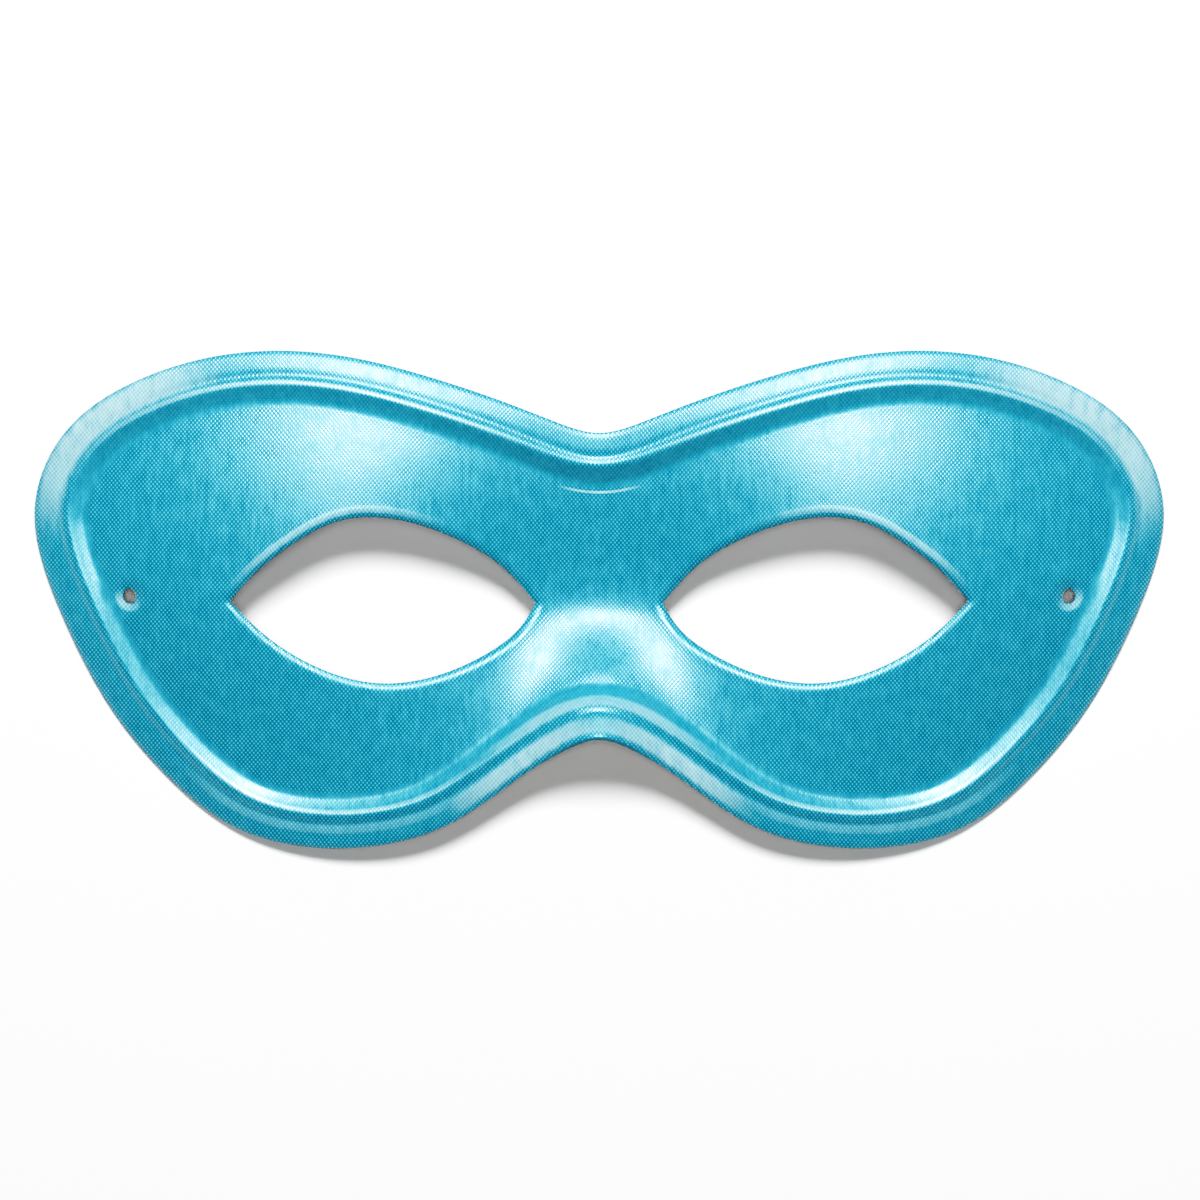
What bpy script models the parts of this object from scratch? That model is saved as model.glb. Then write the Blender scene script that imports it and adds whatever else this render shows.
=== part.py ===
# Domino mask: one sheet of stiffened satin, moulded to wrap round the upper face.
# Metres, +Z up. It lies face up: X runs from temple to temple and +Y points to the brow.
# One half is lofted as an open sheet, mirrored, and given its wall.
import bmesh
import bpy
import numpy as np

# Outline of the whole mask, seen from the front
MASK_WIDTH = 0.180  # temple to temple
MASK_HEIGHT = 0.079  # brow lobes to cheek lobes
WALL = 0.0011  # thickness of the laminated sheet

# Eye holes
EYE_WIDTH = 0.0485  # inner corner to outer corner
EYE_HEIGHT = 0.0262  # upper edge to lower edge
EYE_SPACING = 0.0686  # centre to centre
EYE_LEVEL = 0.0  # centre of the eye holes over the middle of the height
LIP_WIDTH = 0.0022  # turned edge round each eye hole
LIP_DROP = 0.0005  # how far that edge turns down

# Face form
WRAP_DEPTH = 0.0192  # how far the temples lie below the middle
WRAP_POWER = 3.3  # 2 is an even curve; more keeps the middle flat and turns the temples down
TEMPLE_TWIST = 0.0068  # lift of the temple's brow side, and drop of its cheek side
BROW_LEVEL = 0.0061  # brow line over the middle of the height
BROW_ROUND = 0.0202  # half width of the rounding along the brow line
BROW_SLOPE_RATIO = 0.35  # slope from the brow line up to the top edge
CHEEK_SLOPE_RATIO = 0.305  # slope from the brow line down to the cheeks
NOSE_RISE = 0.0142  # bridge over the cheeks, at its lower end
NOSE_LEVEL = -0.0012  # start of the bridge over the middle of the height
NOSE_LENGTH = 0.0228  # bridge from its start to its lower end
NOSE_SOFT = 0.0030  # rounding where the bridge starts
NOSE_SPREAD = 0.0116  # half width of the bridge at half its rise
NOSE_TAPER_RATIO = 0.6  # how much narrower the lower end is than the start, as a share
NASION_DEPTH = 0.0119  # hollow between the brows and at the inner eye corners
NASION_LEVEL = -0.0050  # centre of that hollow over the middle of the height
NASION_WIDTH = 0.0268  # its reach across and along the nose
NASION_LENGTH = 0.0280

# Moulded rim
RIM_WIDTH = 0.0088  # edge to the crease where the flat of the mask starts
RIB_RISE = 0.0020  # crest of the rib over that flat
FLARE_RISE = 0.0032  # most that the edge turns up at the upper temple
FLARE_LEVEL = 0.0300  # middle of the turned-up stretch over the middle of the height
FLARE_REACH = 0.0140  # its half length, up and down
FLARE_POWER = 3.0  # how fast it fades towards the nose

# Holes for the elastic
CORD_HOLE = 0.0024  # diameter
CORD_LAND = 0.0062  # diameter of the flat round each hole
CORD_INSET = 0.0154  # hole centre from the side of the mask
CORD_LEVEL = 0.0006  # hole centre over the middle of the height

# Mesh density
RIM_COLUMNS = 64
BRIDGE_COLUMNS = 6
HOLE_SIDES = 16

# Half outline, from the notch over the nose, round the temple, to the notch under the brow bridge.
# across: share of half the width. up: share of the height, from its middle.
OUTLINE = [
    (0.000, 0.332),
    (0.059, 0.349),
    (0.158, 0.393),
    (0.296, 0.446),
    (0.430, 0.485),
    (0.561, 0.500),
    (0.695, 0.485),
    (0.826, 0.435),
    (0.925, 0.361),
    (0.986, 0.256),
    (1.000, 0.178),
    (0.989, 0.090),
    (0.943, -0.048),
    (0.857, -0.230),
    (0.755, -0.365),
    (0.642, -0.460),
    (0.519, -0.497),
    (0.402, -0.496),
    (0.282, -0.461),
    (0.158, -0.371),
    (0.059, -0.295),
    (0.000, -0.271),
]

# Eye hole, upper and lower edge, from the inner corner to the outer corner.
# across: share of the eye width. up: share of the eye height, both from the centre.
EYE_UPPER = [
    (-0.500, -0.020),
    (-0.390, 0.200),
    (-0.215, 0.390),
    (-0.023, 0.493),
    (0.140, 0.478),
    (0.298, 0.330),
    (0.418, 0.158),
    (0.500, -0.008),
]
EYE_LOWER = [
    (-0.500, -0.020),
    (-0.450, -0.164),
    (-0.330, -0.336),
    (-0.155, -0.470),
    (0.025, -0.503),
    (0.200, -0.419),
    (0.380, -0.220),
    (0.500, -0.008),
]

# Rim section. inset: share of the rim width, from the edge inwards. rise: share of the rib's rise.
RIM_ROWS = [
    (0.00, 0.72),
    (0.09, 0.80),
    (0.34, 0.82),
    (0.50, 0.91),
    (0.58, 1.00),
    (0.64, 0.92),
    (0.72, 0.63),
    (0.81, 0.31),
    (0.90, 0.06),
    (1.00, 0.00),
]
CREST_INSET = 0.58  # share of the rim width; outside it the edge may turn up

# Rows from the eye edge to the rim's crease. gap: share of the way across.
PANEL_ROWS = [0.30, 0.48, 0.66, 0.83]

# Lip of the eye hole. out: share of the lip width. drop: share of its drop.
LIP_ROWS = [
    (0.00, 1.00),
    (0.40, 0.12),
    (1.00, 0.00),
]


def smooth_curve(points, flat_ends):
    """A cubic curve through the points as a dense polyline; with flat_ends it crosses x=0 level."""
    points = np.array(points)
    steps = np.linalg.norm(np.diff(points, axis=0), axis=1)
    count = len(points)
    matrix = np.zeros((count, count))
    right = np.zeros((count, 2))
    for i in range(1, count - 1):
        matrix[i, i - 1 : i + 2] = (steps[i], 2 * (steps[i - 1] + steps[i]), steps[i - 1])
        slopes = (points[i] - points[i - 1]) / steps[i - 1], (points[i + 1] - points[i]) / steps[i]
        right[i] = 3 * (steps[i] * slopes[0] + steps[i - 1] * slopes[1])
    for end, sign in ((0, 1.0), (count - 1, -1.0)):
        near = 1 if end == 0 else count - 2
        step = steps[0] if end == 0 else steps[-1]
        if flat_ends:
            matrix[end, end] = 1
            right[end] = (sign, 0)
        else:
            matrix[end, end] = 2
            matrix[end, near] = 1
            right[end] = sign * 3 * (points[near] - points[end]) / step
    tangents = np.linalg.solve(matrix, right)
    out = []
    for i in range(count - 1):
        t = np.linspace(0, 1, 24, endpoint=i == count - 2)[:, None]
        out.append(
            (2 * t**3 - 3 * t**2 + 1) * points[i]
            + (t**3 - 2 * t**2 + t) * steps[i] * tangents[i]
            + (3 * t**2 - 2 * t**3) * points[i + 1]
            + (t**3 - t**2) * steps[i] * tangents[i + 1]
        )
    return np.vstack(out)


def resample(line, shares):
    """Points at the given shares of the polyline's length."""
    lengths = np.concatenate(([0], np.cumsum(np.linalg.norm(np.diff(line, axis=0), axis=1))))
    return np.array([[np.interp(s * lengths[-1], lengths, line[:, k]) for k in (0, 1)] for s in shares])


def outline():
    """Half outline, and the inward direction at each of its points."""
    line = smooth_curve(np.array(OUTLINE) * (MASK_WIDTH / 2, MASK_HEIGHT), True)
    edge = resample(line, np.linspace(0, 1, RIM_COLUMNS + 1))
    along = np.gradient(edge, axis=0)
    inward = np.column_stack((along[:, 1], -along[:, 0]))
    inward /= np.linalg.norm(inward, axis=1)[:, None]
    inward[0] = (0, -1)
    inward[-1] = (0, 1)
    return edge, inward


def eye_edge(rows):
    """One edge of the eye hole, from the inner corner to the outer one."""
    centre = np.array((EYE_SPACING / 2, EYE_LEVEL))
    return smooth_curve(np.array(rows) * (EYE_WIDTH, EYE_HEIGHT) + centre, False)


def face_height(x, y):
    """Height of the sheet without its rim: wrap, brow, cheeks, nasion and nose bridge."""
    outward, upward = abs(x) / (MASK_WIDTH / 2), y / (MASK_HEIGHT / 2)
    wrap = -WRAP_DEPTH * outward**WRAP_POWER + TEMPLE_TWIST * outward * upward
    t = y - BROW_LEVEL
    mean = (CHEEK_SLOPE_RATIO + BROW_SLOPE_RATIO) / 2
    lean = (CHEEK_SLOPE_RATIO - BROW_SLOPE_RATIO) / 2
    brow = lean * t - mean * ((t**2 + BROW_ROUND**2) ** 0.5 - BROW_ROUND)
    reach = (x / NASION_WIDTH) ** 2 + ((y - NASION_LEVEL) / NASION_LENGTH) ** 2
    nasion = -NASION_DEPTH * np.exp(-reach)
    below = NOSE_LEVEL - y
    down = (below + (below**2 + NOSE_SOFT**2) ** 0.5) / 2 / NOSE_LENGTH
    spread = NOSE_SPREAD * (1 - NOSE_TAPER_RATIO * (down - 0.5))
    ridge = NOSE_RISE * down / (1 + (x / spread) ** 2)
    return wrap + brow + nasion + ridge


def flare(x, y, inset):
    """Lift of the rim outside its crest, where the upper temple turns up."""
    outside = max(0.0, 1 - inset / CREST_INSET)
    fade = np.exp(-(((y - FLARE_LEVEL) / FLARE_REACH) ** 2)) * (x / (MASK_WIDTH / 2)) ** FLARE_POWER
    return FLARE_RISE * outside * fade


def cord_point():
    return np.array((MASK_WIDTH / 2 - CORD_INSET, CORD_LEVEL))


def cord_land():
    """Centre and two in-plane directions of the flat round the elastic's hole."""
    x, y = cord_point()
    step = CORD_LAND / 4
    across = (face_height(x + step, y) - face_height(x - step, y)) / (2 * step)
    up = (face_height(x, y + step) - face_height(x, y - step)) / (2 * step)
    u = np.array((1, 0, across))
    u /= np.linalg.norm(u)
    v = np.array((0, 1, up))
    v -= u * v.dot(u)
    v /= np.linalg.norm(v)
    return np.array((x, y, face_height(x, y))), u, v


def add_rows(mesh, rows, closed):
    """Quads between neighbouring rows of vertices."""
    for near, far in zip(rows, rows[1:]):
        count = len(near)
        for i in range(count if closed else count - 1):
            j = (i + 1) % count
            corners = [near[i], near[j], far[j], far[i]]
            mesh.faces.new(corners)


def loft_half(mesh):
    """Rim rows along the outline, then rows from the rim's crease to the eye hole."""
    edge, inward = outline()
    rim = []
    for inset, rise in RIM_ROWS:
        line = edge + inward * (inset * RIM_WIDTH)
        heights = [face_height(x, y) + rise * RIB_RISE + flare(x, y, inset) for x, y in line]
        rim.append([mesh.verts.new((x, y, z)) for (x, y), z in zip(line, heights)])
    add_rows(mesh, rim, False)

    # The crease row is closed along the middle of the nose, level with the inner eye corner.
    crease = rim[-1]
    upper, lower = eye_edge(EYE_UPPER), eye_edge(EYE_LOWER)
    corner_level = upper[0, 1]
    middle = []
    for start, end in ((crease[-1].co.y, corner_level), (corner_level, crease[0].co.y)):
        shares = np.linspace(0, 1, BRIDGE_COLUMNS + 1)[1:]
        middle += [(0.0, start + (end - start) * s) for s in shares]
    middle = [mesh.verts.new((x, y, face_height(x, y))) for x, y in middle[:-1]]
    loop = middle[BRIDGE_COLUMNS - 1 :] + crease + middle[: BRIDGE_COLUMNS - 1]

    # The eye's outer corner meets the crease point in line with it; the rest follow by angle.
    centre = np.array((EYE_SPACING / 2, EYE_LEVEL))
    flat = np.array([v.co[:2] for v in loop])

    def bearing(points):
        offset = points - centre
        return np.unwrap(np.arctan2(-offset[:, 1], -offset[:, 0]))

    turn = bearing(np.vstack((flat, flat[:1])))
    turn = np.abs(turn - turn[0])
    tip = 1 + int(np.argmin(np.abs(turn[1:-1] - np.pi)))
    hole = []
    for i in range(len(loop)):
        side, first, last = (upper, 0, tip) if i <= tip else (lower[::-1], tip, len(loop))
        share_by_turn = (turn[i] - turn[first]) / (turn[last] - turn[first])
        share_by_count = (i - first) / (last - first)
        share = 0.5 * share_by_turn + 0.5 * share_by_count
        hole.append(resample(side, [share])[0])
    hole = np.array(hole)

    reach = np.linalg.norm(flat - hole, axis=1)[:, None]
    shares = [out * LIP_WIDTH / reach for out, drop in LIP_ROWS]
    drops = [drop * LIP_DROP for out, drop in LIP_ROWS]
    shares += [np.full_like(reach, gap) for gap in PANEL_ROWS]
    drops += [0.0] * len(PANEL_ROWS)
    rows = []
    for share, drop in zip(shares, drops):
        line = hole + (flat - hole) * share
        rows.append([mesh.verts.new((x, y, face_height(x, y) - drop)) for x, y in line])
    for line in rows:
        for i, vertex in enumerate(line):
            if abs(vertex.co.x) < WALL / 100:
                vertex.co.x = 0
    add_rows(mesh, [loop] + rows[::-1], True)


def punch_cord_hole(mesh):
    """Swap the faces round the hole for a flat ring with the hole in it."""
    centre, u, v = cord_land()
    near = {
        f
        for f in mesh.faces
        if min(np.hypot(*(np.array(p.co[:2]) - centre[:2])) for p in f.verts) < CORD_LAND * 0.6
    }
    border = [e for e in mesh.edges if len(near.intersection(e.link_faces)) == 1]
    bmesh.ops.delete(mesh, geom=list(near), context="FACES")
    rings = []
    for radius in (CORD_LAND / 2, CORD_HOLE / 2):
        turns = np.arange(HOLE_SIDES) * 2 * np.pi / HOLE_SIDES
        points = [centre + radius * (np.cos(a) * u + np.sin(a) * v) for a in turns]
        rings.append([mesh.verts.new(p) for p in points])
    add_rows(mesh, rings, True)
    seam = [mesh.edges.get(pair) for pair in zip(rings[0], rings[0][1:] + rings[0][:1])]
    bmesh.ops.bridge_loops(mesh, edges=border + seam)


def satin():
    material = bpy.data.materials.new("satin")
    material.use_nodes = True
    shader = material.node_tree.nodes["Principled BSDF"]
    shader.inputs["Base Color"].default_value = (0.01, 0.36, 0.52, 1)
    shader.inputs["Roughness"].default_value = 0.4
    shader.inputs["Metallic"].default_value = 0.0
    return material


def build_mask_shell(collection):
    mesh = bmesh.new()
    loft_half(mesh)
    punch_cord_hole(mesh)
    bmesh.ops.recalc_face_normals(mesh, faces=mesh.faces)
    if sum(f.normal.z for f in mesh.faces) < 0:
        bmesh.ops.reverse_faces(mesh, faces=mesh.faces)
    data = bpy.data.meshes.new("mask_shell")
    mesh.to_mesh(data)
    mesh.free()
    data.shade_smooth()
    data.materials.append(satin())
    shell = bpy.data.objects.new("mask_shell", data)
    collection.objects.link(shell)

    mirror = shell.modifiers.new("Mirror", "MIRROR")
    mirror.use_axis = (True, False, False)
    mirror.merge_threshold = 0.00005
    wall = shell.modifiers.new("Wall", "SOLIDIFY")
    wall.thickness = WALL
    wall.offset = -1
    wall.use_quality_normals = True
    wall.use_rim = True

    # It lies on its temples: the origin is under the middle of the finished wall's box.
    bpy.context.view_layer.update()
    finished = shell.evaluated_get(bpy.context.evaluated_depsgraph_get()).to_mesh()
    corners = np.array([v.co for v in finished.vertices])
    low, high = corners.min(axis=0), corners.max(axis=0)
    shell.location = (0, -(low[1] + high[1]) / 2, -low[2])
    return shell


def main():
    for obj in list(bpy.data.objects):
        bpy.data.objects.remove(obj)
    collection = bpy.data.collections.new("domino_mask")
    bpy.context.scene.collection.children.link(collection)
    build_mask_shell(collection)


main()
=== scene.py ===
# Domino mask of moulded satin, lying face up on a pale table in soft studio light.
# Lengths are in metres unless a note says otherwise.
import math
import random

import bmesh
import bpy
import numpy as np
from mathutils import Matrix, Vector, noise


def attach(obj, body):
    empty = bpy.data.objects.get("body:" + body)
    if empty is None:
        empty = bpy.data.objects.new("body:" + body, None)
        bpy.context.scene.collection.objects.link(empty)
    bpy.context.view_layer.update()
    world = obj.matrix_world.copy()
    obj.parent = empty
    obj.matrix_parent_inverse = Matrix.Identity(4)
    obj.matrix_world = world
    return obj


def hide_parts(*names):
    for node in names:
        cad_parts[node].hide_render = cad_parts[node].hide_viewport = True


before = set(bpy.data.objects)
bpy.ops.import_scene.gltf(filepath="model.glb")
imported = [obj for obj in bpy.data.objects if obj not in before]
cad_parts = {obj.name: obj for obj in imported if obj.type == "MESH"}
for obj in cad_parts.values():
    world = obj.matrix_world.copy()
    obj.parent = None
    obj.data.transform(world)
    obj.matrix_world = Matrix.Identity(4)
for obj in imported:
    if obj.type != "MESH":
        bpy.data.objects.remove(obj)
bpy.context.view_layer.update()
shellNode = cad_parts["mask_shell"]


class Wire:  # an output socket; arithmetic on it adds Math nodes
    def __init__(self, kit, socket):
        self.kit = kit
        self.socket = socket

    def __add__(self, other):
        return self.kit.math("ADD", self, other)

    def __sub__(self, other):
        return self.kit.math("SUBTRACT", self, other)

    def __rsub__(self, other):
        return self.kit.math("SUBTRACT", other, self)

    def __mul__(self, other):
        return self.kit.math("MULTIPLY", self, other)

    def __truediv__(self, other):
        return self.kit.math("DIVIDE", self, other)

    def __pow__(self, other):
        return self.kit.math("POWER", self, other)

    __radd__ = __add__


class ShaderKit:  # one material and its nodes
    def __init__(self, name):
        self.material = bpy.data.materials.new(name)
        self.material.use_nodes = True
        self.tree = self.material.node_tree
        self.shader = self.tree.nodes["Principled BSDF"]

    def node(self, kind, settings=None, sockets=None, output=0):
        made = self.tree.nodes.new(kind)
        for key, value in (settings or {}).items():
            setattr(made, key, value)
        for key, value in (sockets or {}).items():
            self.feed(made.inputs[key], value)
        return Wire(self, made.outputs[output])

    def feed(self, socket, value):
        if isinstance(value, Wire):
            self.tree.links.new(value.socket, socket)
        else:
            socket.default_value = value

    def math(self, operation, *values):
        return self.node("ShaderNodeMath", {"operation": operation}, dict(enumerate(values)))

    def clamped(self, value):
        return self.node("ShaderNodeClamp", None, {"Value": value})

    def between(self, value, low, high):  # 0 below low, 1 above high, smooth in between
        return self.node(
            "ShaderNodeMapRange",
            {"interpolation_type": "SMOOTHSTEP"},
            {"Value": value, "From Min": low, "From Max": high},
        )

    def mix(self, factor, first, second):
        return self.node(
            "ShaderNodeMix", {"data_type": "RGBA"}, {0: factor, 6: first, 7: second}, output=2
        )

    def noise(self, vector, scale, detail, roughness):
        return self.node(
            "ShaderNodeTexNoise",
            None,
            {"Vector": vector, "Scale": scale, "Detail": detail, "Roughness": roughness},
        )

    def measured(self, name):  # a value stored on the mesh's points
        return self.node("ShaderNodeAttribute", {"attribute_name": name}, output=2)

    def objectPlace(self):
        return self.node("ShaderNodeTexCoord", output=3)

    def mapped(self, vector, **sockets):
        return self.node("ShaderNodeMapping", None, {"Vector": vector, **sockets})

    def split(self, vector):
        first = self.node("ShaderNodeSeparateXYZ", None, {"Vector": vector})
        return [Wire(self, socket) for socket in first.socket.node.outputs]

    def bump(self, height, distance):
        return self.node("ShaderNodeBump", None, {"Height": height, "Distance": distance})

    def finish(self, **sockets):
        for key, value in sockets.items():
            self.feed(self.shader.inputs[key.replace("_", " ")], value)
        return self.material


studioLook = {
    "cameraDistance": 2.0,
    "cameraShiftX": 0.00013,
    "cameraClip": (0.05, 10),
    "frameWidth": 0.1912,  # what the square picture spans at the table
    "keyElevation": 64.0,  # degrees over the table, from the brow side
    "keyDistance": 1.4,
    "keySize": 0.34,
    "keyPower": 24.0,
    "topHeight": 1.5,
    "topLight": 0.74,  # flat light from straight above, which gives no highlight
    "topSoftness": 10.0,  # degrees
    "roomLight": 0.10,  # from the room, straight overhead
    "wallLight": 0.27,  # at the height of the table
    "roomTone": (1, 0.985, 0.97, 1),  # of the top light too
    "floorSize": 6,
    "floorTone": (0.92, 0.92, 0.92, 1),
    "floorRoughness": 0.9,
    "paperWhite": 1.35,  # the light that comes out white in the picture
    # light in the scene, and the tone that it gets in the picture
    "contrast": [(0.03, 0.008), (0.09, 0.055), (0.22, 0.27), (0.52, 0.69), (0.75, 0.87)],
}


def makeFloor():
    look = studioLook
    bpy.ops.mesh.primitive_plane_add(size=look["floorSize"], location=(0, 0, 0))
    floor = bpy.context.object
    floor.name = "studioFloor"
    paper = ShaderKit("palePaper")
    floor.data.materials.append(
        paper.finish(Base_Color=look["floorTone"], Roughness=look["floorRoughness"])
    )


def makeRoom():  # weak light from all round, stronger from the walls than from overhead
    look = studioLook
    world = bpy.data.worlds.new("studioRoom")
    bpy.context.scene.world = world
    world.use_nodes = True
    tree = world.node_tree
    background = tree.nodes["Background"]
    background.inputs["Color"].default_value = look["roomTone"]
    direction = tree.nodes.new("ShaderNodeTexCoord").outputs["Generated"]
    split = tree.nodes.new("ShaderNodeSeparateXYZ")
    fade = tree.nodes.new("ShaderNodeMapRange")
    fade.inputs["To Min"].default_value = look["wallLight"]
    fade.inputs["To Max"].default_value = look["roomLight"]
    tree.links.new(direction, split.inputs[0])
    tree.links.new(split.outputs["Z"], fade.inputs["Value"])
    tree.links.new(fade.outputs[0], background.inputs["Strength"])
    world.cycles_visibility.glossy = False  # dark flags round the table: only the key light is mirrored


def makeLights():
    look = studioLook
    tilt = math.radians(90 - look["keyElevation"])
    place = (0, look["keyDistance"] * math.sin(tilt), look["keyDistance"] * math.cos(tilt))
    bpy.ops.object.light_add(type="AREA", location=place, rotation=(-tilt, 0, 0))
    key = bpy.context.object
    key.name = "keySoftbox"
    key.data.shape = "DISK"
    key.data.size = look["keySize"]
    key.data.energy = look["keyPower"]

    bpy.ops.object.light_add(type="SUN", location=(0, 0, look["topHeight"]))
    top = bpy.context.object
    top.name = "topScrim"
    top.data.energy = look["topLight"]
    top.data.color = look["roomTone"][:3]
    top.data.angle = math.radians(look["topSoftness"])
    top.visible_glossy = False


def makeCamera():
    look = studioLook
    height = look["cameraDistance"]
    bpy.ops.object.camera_add(location=(look["cameraShiftX"], 0, height), rotation=(0, 0, 0))
    camera = bpy.context.object
    camera.name = "photoCamera"
    camera.data.lens = camera.data.sensor_width * height / look["frameWidth"]
    camera.data.clip_start, camera.data.clip_end = look["cameraClip"]
    bpy.context.scene.camera = camera
    view = bpy.context.scene.view_settings
    view.view_transform = "Standard"
    view.use_curve_mapping = True
    view.curve_mapping.white_level = [look["paperWhite"]] * 3
    for light, tone in look["contrast"]:
        view.curve_mapping.curves[3].points.new(light, tone)
    view.curve_mapping.update()


def makeStudio():
    makeFloor()
    makeRoom()
    makeLights()
    makeCamera()
    print("studio ready")


# A noise is given by its scale, detail and roughness.
satinLook = {
    "deep": (0.0, 0.225, 0.35, 1),  # in the gaps of the weave
    "bright": (0.20, 0.78, 0.96, 1),  # on top of the threads
    "pale": (0.62, 0.92, 1.0, 1),  # colour of the painted highlights
    "threadAcross": 0.00032,  # pitch of the threads
    "threadUp": 0.00037,
    "weaveTurn": 2.0,  # degrees
    "wander": 0.0006,  # how far the threads stray
    "wanderNoise": (60.0, 1.0, 0.5),
    "weaveHeight": 0.00004,
    "ridgeShare": 0.25,  # of the relief, in ridges that run up the mask
    "crispness": 3.2,  # more makes the dots smaller on a plain ground
    "plainTone": 0.22,  # tone of that ground, from deep to bright
    "dotContrast": 1.1,
    "mottleNoise": (420.0, 3.0, 0.6),
    "mottleTone": 0.12,
    "mottleRoughness": 0.4,
    "mottleHeight": 1.1,  # times the weave's
    "streakNoise": (1600.0, 2.0, 0.6),
    "streakStretch": (1, 0.15, 1),
    "streakTone": 0.25,
    "streakRoughness": 0.35,
    "streakHeight": 0.5,  # times the weave's
    "raggedNoise": (700.0, 4.0, 0.65),
    "raggedStretch": (1, 0.4, 1),
    "highlightEven": 0.6,  # painted highlight between the dots
    "highlightOnDots": 0.5,  # and how much more on them
    "highlightRagged": 1.3,
    "roughness": 0.38,
    "dotSmoothness": 0.08,  # how much less rough the dots are
    "wallFrom": 0.0056,  # stretched smooth over the inner wall of the rib
    "wallFromSoft": 0.0004,
    "wallTo": 0.0088,
    "wallToSoft": 0.0003,
    "wallWeave": 0.35,  # share of the weave that still shows there
    "fixed": {  # the same all over
        "Metallic": 0.1,
        "IOR": 1.9,
        "Specular IOR Level": 0.5,
        "Specular Tint": (0.9, 1, 1, 1),
        "Coat Weight": 0.2,  # the second, whiter sheen
        "Coat IOR": 1.8,
        "Coat Roughness": 0.38,
    },
}

# Painted highlights on the satin, pale patches where it would catch the key light, the same on both halves,
# by the edge that they follow.
# across, up: centre and reach. band: nearest and farthest from the edge. share: how strongly the highlight is
# painted.
paintedHighlights = {
    "rimInset": [
        {"across": (0.0780, 0.0210), "up": (0.0270, 0.0190), "band": (0.0003, 0.0042), "share": 0.8},
        {"across": (0.0100, 0.0180), "up": (-0.0270, 0.0120), "band": (0.0008, 0.0033), "share": 0.7},
        {"across": (0.0000, 0.0220), "up": (-0.0190, 0.0160), "band": (0.0050, 0.0066), "share": 0.5},
        {"across": (0.0470, 0.0400), "up": (-0.0330, 0.0160), "band": (0.0053, 0.0061), "share": 0.35},
        {"across": (0.0500, 0.0480), "up": (0.0320, 0.0180), "band": (0.0046, 0.0054), "share": 0.4},
        {"across": (0.0470, 0.0360), "up": (-0.0360, 0.0120), "band": (0.0023, 0.0037), "share": 0.22},
        {"across": (0.0000, 0.0068), "up": (0.0170, 0.0050), "band": (0.0092, 0.0096), "share": 0.7},
    ],
    "eyeInset": [
        {"across": (0.0440, 0.0190), "up": (0.0100, 0.0110), "band": (0.0007, 0.0018), "share": 0.5},
    ],
    "cordInset": [
        {"across": (0.0757, 0.0032), "up": (-0.0012, 0.0030), "band": (0.0001, 0.0012), "share": 0.45},
    ],
}
# how the painted highlights fade at their sides
paintedHighlightEdge = {
    "soft": 0.2,  # fade at each side of a band, as a share of its width
    "shaky": 1.6,  # how far its sides stray, as a share of that fade
    "fade": 1.2,  # where a patch has faded out, in squared reaches from its centre
}


def weave(kit, place, look):  # lattice of raised dots, and fine ridges that run up the mask
    turned = kit.mapped(place, Rotation=(0, 0, math.radians(look["weaveTurn"])))
    x, y = kit.split(turned)[:2]
    wobble = (kit.noise(place, *look["wanderNoise"]) - 0.5) * look["wander"]
    across = (x + wobble) * (math.pi / look["threadAcross"])
    up = (y + wobble) * (math.pi / look["threadUp"])
    dots = kit.math("COSINE", across) * kit.math("COSINE", up) * 0.5 + 0.5
    ridges = kit.math("COSINE", across * 2) * 0.5 + 0.5
    return dots, ridges


def paintedHighlight(kit, place, insets, ragged):  # how strong the painted highlight is, from 0 to 1
    x, y = kit.split(place)[:2]
    across = kit.math("ABSOLUTE", x)
    total = 0.0
    for edge, patches in paintedHighlights.items():
        for patch in patches:
            away = ((across - patch["across"][0]) / patch["across"][1]) ** 2
            away = away + ((y - patch["up"][0]) / patch["up"][1]) ** 2 + (ragged - 0.5)
            low, high = patch["band"]
            soft = (high - low) * paintedHighlightEdge["soft"]
            shaky = insets[edge] + (ragged - 0.5) * (soft * paintedHighlightEdge["shaky"])
            band = kit.between(shaky, low - soft, low + soft)
            band = band * kit.between(shaky, high + soft, high - soft)
            shown = kit.between(away, paintedHighlightEdge["fade"], 0.0) * band * patch["share"]
            total = kit.math("MAXIMUM", total, shown)
    return total


def wallOfRib(kit, inset, look):  # 1 on the inner wall of the rib
    low, high = look["wallFrom"], look["wallTo"]
    inside = kit.between(inset, low - look["wallFromSoft"], low + look["wallFromSoft"])
    return inside * kit.between(inset, high + look["wallToSoft"], high - look["wallToSoft"])


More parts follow.
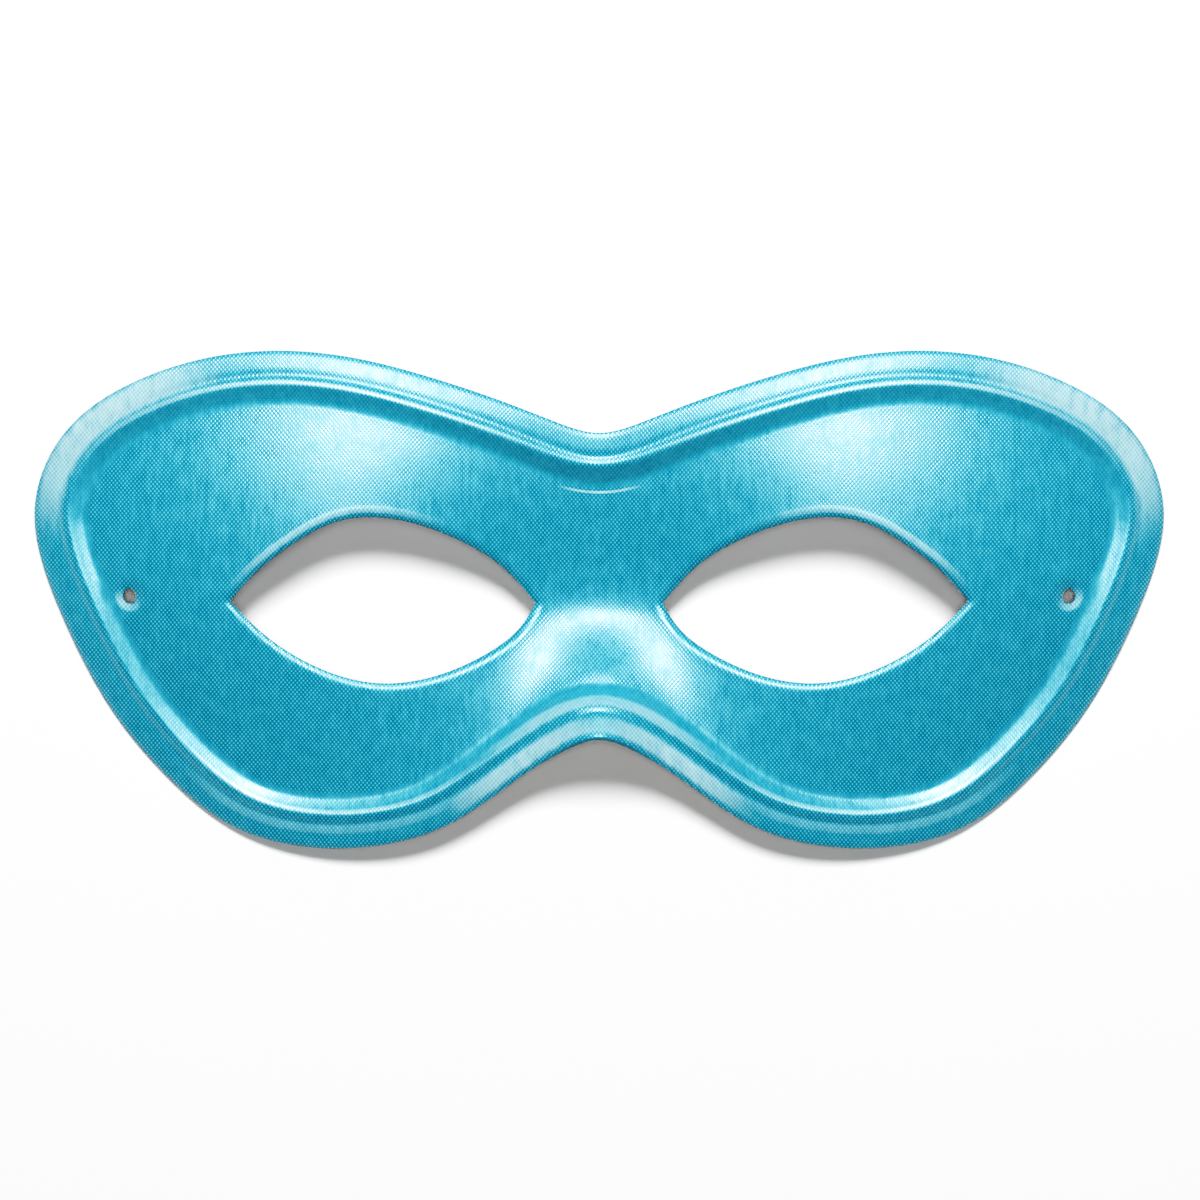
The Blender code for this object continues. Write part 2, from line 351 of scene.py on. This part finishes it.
def satinFinish():
    look = satinLook
    kit = ShaderKit("satin")
    place = kit.objectPlace()
    insets = {name: kit.measured(name) for name in paintedHighlights}
    dots, ridges = weave(kit, place, look)
    shown = 1 - wallOfRib(kit, insets["rimInset"], look) * (1 - look["wallWeave"])
    mottle = kit.noise(place, *look["mottleNoise"])
    streaks = kit.noise(kit.mapped(place, Scale=look["streakStretch"]), *look["streakNoise"])
    ragged = kit.noise(kit.mapped(place, Scale=look["raggedStretch"]), *look["raggedNoise"])

    crisp = (dots ** look["crispness"] - look["plainTone"]) * shown * look["dotContrast"]
    tone = crisp + look["plainTone"] + (mottle - 0.5) * look["mottleTone"]
    tone = kit.clamped(tone + (streaks - 0.5) * look["streakTone"])
    colour = kit.mix(tone, look["deep"], look["bright"])
    # painted highlight: pale colour mixed in over the listed places, where the satin would catch the key
    # light
    paintedSheen = dots * look["highlightOnDots"] + look["highlightEven"] + (ragged - 0.5) * look["highlightRagged"]
    paintedSheen = kit.clamped(paintedHighlight(kit, place, insets, ragged) * paintedSheen)
    colour = kit.mix(paintedSheen, colour, look["pale"])

    rough = (0.5 - dots) * shown * look["dotSmoothness"] + look["roughness"]
    rough = rough + (streaks - 0.5) * look["streakRoughness"] + (mottle - 0.5) * look["mottleRoughness"]
    relief = (dots * (1 - look["ridgeShare"]) + ridges * look["ridgeShare"]) * shown
    relief = relief + mottle * look["mottleHeight"] + streaks * look["streakHeight"]
    for name, value in look["fixed"].items():
        kit.shader.inputs[name].default_value = value
    return kit.finish(Base_Color=colour, Roughness=rough, Normal=kit.bump(relief, look["weaveHeight"]))


plainLooks = {
    "backing": {
        "grain": (900.0, 4.0, 0.65),
        "dark": (0.33, 0.335, 0.33, 1),
        "light": (0.47, 0.475, 0.47, 1),
        "roughness": 0.9,
        "relief": 0.00006,
    },
    "cutEdge": {
        "grain": (1500.0, 3.0, 0.6),
        "dark": (0.005, 0.16, 0.26, 1),
        "light": (0.05, 0.42, 0.55, 1),
        "roughness": 0.75,
        "relief": 0.00005,
    },
}


def plainFinish(name):
    look = plainLooks[name]
    kit = ShaderKit(name)
    grain = kit.noise(kit.objectPlace(), *look["grain"])
    colour = kit.mix(grain, look["dark"], look["light"])
    return kit.finish(Base_Color=colour, Roughness=look["roughness"], Normal=kit.bump(grain, look["relief"]))


shellLook = {
    "weld": 0.00001,
    "quadAngle": 60.0,  # degrees; triangles that pair up within it become quads
    "cutAngle": 50.0,  # degrees; sharper edges are the cut through the sheet
    "smoothing": 2,  # subdivisions
    "eyeAt": (0.0343, 0.0),  # middle of an eye hole, and a half width and height that just hold it
    "eyeHold": (0.0270, 0.0155),
    "cordAt": (0.0746, 0.0006),  # middle of a punched hole, and a radius that just holds it
    "cordHold": 0.0021,
}
satinSlot, backSlot, cutSlot = range(3)

# Low relief that the press leaves. at: distance from the edge. wide: half width. rise: height.
rimRelief = [
    {"at": 0.0000, "wide": 0.0004, "rise": -0.00010},  # rolled outer edge
    {"at": 0.0038, "wide": 0.0006, "rise": -0.00022},  # channel outside the rib
    {"at": 0.0072, "wide": 0.0005, "rise": 0.00003},  # faint swell on its inner wall
]
lipRelief = [
    {"at": 0.0000, "wide": 0.0004, "rise": -0.00010},  # rolled eye edge
    {"at": 0.0012, "wide": 0.0006, "rise": 0.00006},  # swell behind it
]
cordDimple = {"at": -0.0004, "wide": 0.0013, "rise": -0.0006}  # pushed in by the punch
noseFlange = {  # turned down beside the nose, and less at its middle
    "below": -0.0150,  # only below this height
    "reach": 0.0230,  # half the stretch that turns down
    "wide": 0.0038,
    "drop": 0.0008,
    "curve": 1.3,
    "ease": 0.85,  # share of the drop that is lost at the middle
    "easeReach": 0.005,
}
sheetWaves = {"rise": 0.00004, "scale": 110}  # faint unevenness all over
cordBack = {  # how the back of a punched hole is opened out
    "slide": (0.00045, -0.00020),
    "widen": 0.00015,
    "full": 0.0016,  # the whole shift up to this radius, and none from reach on
    "reach": 0.0030,
}


def ridge(distance, line):
    return line["rise"] * np.exp(-(((distance - line["at"]) / line["wide"]) ** 2))


def distanceTo(points, edges):  # from each point to the nearest of the edges, seen from above
    nearest = np.full(len(points), np.inf)
    for start, end in edges:
        first = np.array(start[:2])
        along = np.array(end[:2]) - first
        share = np.clip((points - first) @ along / (along @ along), 0, 1)
        gap = points - first - share[:, None] * along
        nearest = np.minimum(nearest, np.hypot(gap[:, 0], gap[:, 1]))
    return nearest


def cutEdges(mesh, look):  # edges between the satin and the cut, by the opening that they border
    sides = {}
    for face in mesh.polygons:
        for key in face.edge_keys:
            sides.setdefault(key, set()).add(face.material_index)
    found = {"rim": [], "eye": [], "cord": []}
    for key, slots in sorted(sides.items()):
        if slots == {satinSlot, cutSlot}:
            start, end = (mesh.vertices[i].co.copy() for i in key)
            x, y = abs(start.x), start.y
            inEye = math.hypot((x - look["eyeAt"][0]) / look["eyeHold"][0], y / look["eyeHold"][1]) < 1
            inCord = math.hypot(x - look["cordAt"][0], y - look["cordAt"][1]) < look["cordHold"]
            found["eye" if inEye else "cord" if inCord else "rim"].append((start, end))
    return found


def pressedHeight(flat, rim, eye, cord):  # how far the press lifts each point
    lift = sum(ridge(rim, line) for line in rimRelief)
    lift += sum(ridge(eye, line) for line in lipRelief)
    lift += ridge(cord, cordDimple)
    nose = noseFlange
    nearNose = np.exp(-((flat[:, 0] / nose["reach"]) ** 4)) * (flat[:, 1] < nose["below"])
    nearNose *= 1 - nose["ease"] * np.exp(-((flat[:, 0] / nose["easeReach"]) ** 2))
    lift -= nose["drop"] * np.clip(1 - rim / nose["wide"], 0, 1) ** nose["curve"] * nearNose
    scale = sheetWaves["scale"]
    lift += [sheetWaves["rise"] * noise.noise(Vector((x * scale, y * scale, 0))) for x, y in flat]
    return lift


def cordShift(mesh, away, side):  # moves the back of each punched hole, so that the table shows through it
    front = np.zeros(len(away), bool)
    for face in mesh.polygons:
        if face.material_index == satinSlot:
            front[list(face.vertices)] = True
    radius = np.hypot(away[:, 0], away[:, 1])
    share = np.clip((cordBack["reach"] - radius) / (cordBack["reach"] - cordBack["full"]), 0, 1) * ~front
    slide = np.column_stack((side * cordBack["slide"][0], np.full(len(away), cordBack["slide"][1])))
    outward = away / radius[:, None] * cordBack["widen"]
    return share[:, None] * (slide + outward)


def pressRelief(shell, look):
    mesh = shell.data
    places = np.empty(len(mesh.vertices) * 3)
    mesh.vertices.foreach_get("co", places)
    places = places.reshape(-1, 3)
    flat = places[:, :2].copy()
    edges = cutEdges(mesh, look)
    rim, eye, cord = (distanceTo(flat, edges[name]) for name in ("rim", "eye", "cord"))
    print("edges round the rim, eyes and cord holes", [len(found) for found in edges.values()])
    places[:, 2] += pressedHeight(flat, rim, eye, cord)

    side = np.where(flat[:, 0] < 0, -1.0, 1.0)
    away = flat - np.column_stack((side * look["cordAt"][0], np.full(len(flat), look["cordAt"][1])))
    places[:, :2] += cordShift(mesh, away, side)
    mesh.vertices.foreach_set("co", places.ravel())
    for name, values in (("rimInset", rim), ("eyeInset", eye), ("cordInset", cord)):
        mesh.attributes.new(name, "FLOAT", "POINT").data.foreach_set("value", values)
    inCord = np.hypot(away[:, 0], away[:, 1]) < look["cordHold"]
    for face in mesh.polygons:  # the walls of the punched holes are grey, like the back
        if face.material_index == cutSlot and inCord[list(face.vertices)].all():
            face.material_index = backSlot
    mesh.update()


def selectOnly(piece):
    bpy.ops.object.select_all(action="DESELECT")
    piece.hide_set(False)
    piece.select_set(True)
    bpy.context.view_layer.objects.active = piece


def sortFaces(shell, sharp):  # creases the sharp edges, and gives each face its slot
    cage = bmesh.new()
    cage.from_mesh(shell.data)
    crease = cage.edges.layers.float.get("crease_edge") or cage.edges.layers.float.new("crease_edge")
    for edge in cage.edges:
        if edge.calc_face_angle(0) > sharp:
            edge[crease] = 1
    for face in cage.faces:
        face.smooth = True
        onCut = all(any(e[crease] > 0 for e in v.link_edges) for v in face.verts)
        face.material_index = cutSlot if onCut else backSlot if face.normal.z < 0 else satinSlot
    cage.to_mesh(shell.data)
    cage.free()


def makeSatinShell():
    look = shellLook
    shell = shellNode.copy()
    shell.data = shellNode.data.copy()
    for key in list(shell.keys()):
        del shell[key]
    shell.parent = None
    shell.name = "satinShell"
    bpy.context.scene.collection.objects.link(shell)
    selectOnly(shell)
    bpy.ops.object.mode_set(mode="EDIT")
    bpy.ops.mesh.select_all(action="SELECT")
    bpy.ops.mesh.remove_doubles(threshold=look["weld"])
    pairing = math.radians(look["quadAngle"])
    bpy.ops.mesh.tris_convert_to_quads(face_threshold=pairing, shape_threshold=pairing)
    bpy.ops.object.mode_set(mode="OBJECT")
    print("quads", sum(len(f.vertices) == 4 for f in shell.data.polygons), "of", len(shell.data.polygons))

    shell.data.materials.clear()
    for finish in (satinFinish(), plainFinish("backing"), plainFinish("cutEdge")):
        shell.data.materials.append(finish)
    sharp = math.radians(look["cutAngle"])
    sortFaces(shell, sharp)

    smooth = shell.modifiers.new("smooth", "SUBSURF")
    smooth.levels = look["smoothing"]
    smooth.render_levels = look["smoothing"]
    bpy.ops.object.modifier_apply(modifier="smooth")
    pressRelief(shell, look)
    bpy.ops.object.shade_smooth_by_angle(angle=sharp)
    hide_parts("mask_shell")
    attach(shell, "root")
    print("satin shell ready", len(shell.data.polygons))
    return shell


fibreLook = {
    "seed": 7,
    "upTo": 0.0040,  # fibres only below this height
    "pitch": 0.00030,
    "length": (0.0002, 0.0008),
    "shortness": 0.6,  # more leaves more short ones
    "radius": 0.000022,
    "taper": (1.0, 0.8, 0.3),  # at the root, half way and at the tip
    "sides": 3,
    "sunk": 0.00008,  # how deep the root sits in the edge
    "spread": 0.9,
    "middleRise": 0.5,
    "tipSpread": 1.6,
    "tipReach": (0.3, 1),
    "tipRise": (-0.2, 0.6),
    "tone": (0.45, 0.80, 0.88, 1),
    "roughness": 0.6,
}


def makeFibres(shell):  # frayed ends along the lower edges of the eye holes
    look = fibreLook
    rng = random.Random(look["seed"])
    sides = look["sides"]
    body = bmesh.new()
    for start, end in cutEdges(shell.data, shellLook)["eye"]:
        if start.y >= look["upTo"]:
            continue
        middle = Vector((math.copysign(shellLook["eyeAt"][0], start.x), shellLook["eyeAt"][1], start.z))
        along = (end - start).normalized()
        inward = (middle - start) - along * (middle - start).dot(along)
        inward = Vector((inward.x, inward.y, 0)).normalized()
        turns = [k * math.tau / sides for k in range(sides)]
        offsets = [along * math.cos(turn) + Vector((0, 0, math.sin(turn))) for turn in turns]
        count = rng.random() + (end - start).length / look["pitch"]
        for _ in range(int(count)):
            root = start.lerp(end, rng.random()) - inward * look["sunk"]
            reach = rng.uniform(*look["length"]) * rng.random() ** look["shortness"]
            lean = along * rng.uniform(-1, 1) * look["spread"]
            halfWay = root + (inward + lean + Vector((0, 0, look["middleRise"]))) * reach * 0.5
            tip = inward * rng.uniform(*look["tipReach"]) + lean * look["tipSpread"]
            tip = root + (tip + Vector((0, 0, rng.uniform(*look["tipRise"])))) * reach
            rings = []
            for point, wide in zip((root, halfWay, tip), look["taper"]):
                rings.append([body.verts.new(point + o * look["radius"] * wide) for o in offsets])
            for near, far in zip(rings, rings[1:]):
                for k in range(sides):
                    body.faces.new((near[k], near[(k + 1) % sides], far[(k + 1) % sides], far[k]))
    data = bpy.data.meshes.new("eyeFibres")
    body.to_mesh(data)
    body.free()
    fibres = bpy.data.objects.new("eyeFibres", data)
    bpy.context.scene.collection.objects.link(fibres)
    kit = ShaderKit("fibre")
    data.materials.append(kit.finish(Base_Color=look["tone"], Roughness=look["roughness"]))
    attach(fibres, "root")
    print("fibres ready", len(data.polygons))


makeStudio()
makeFibres(makeSatinShell())
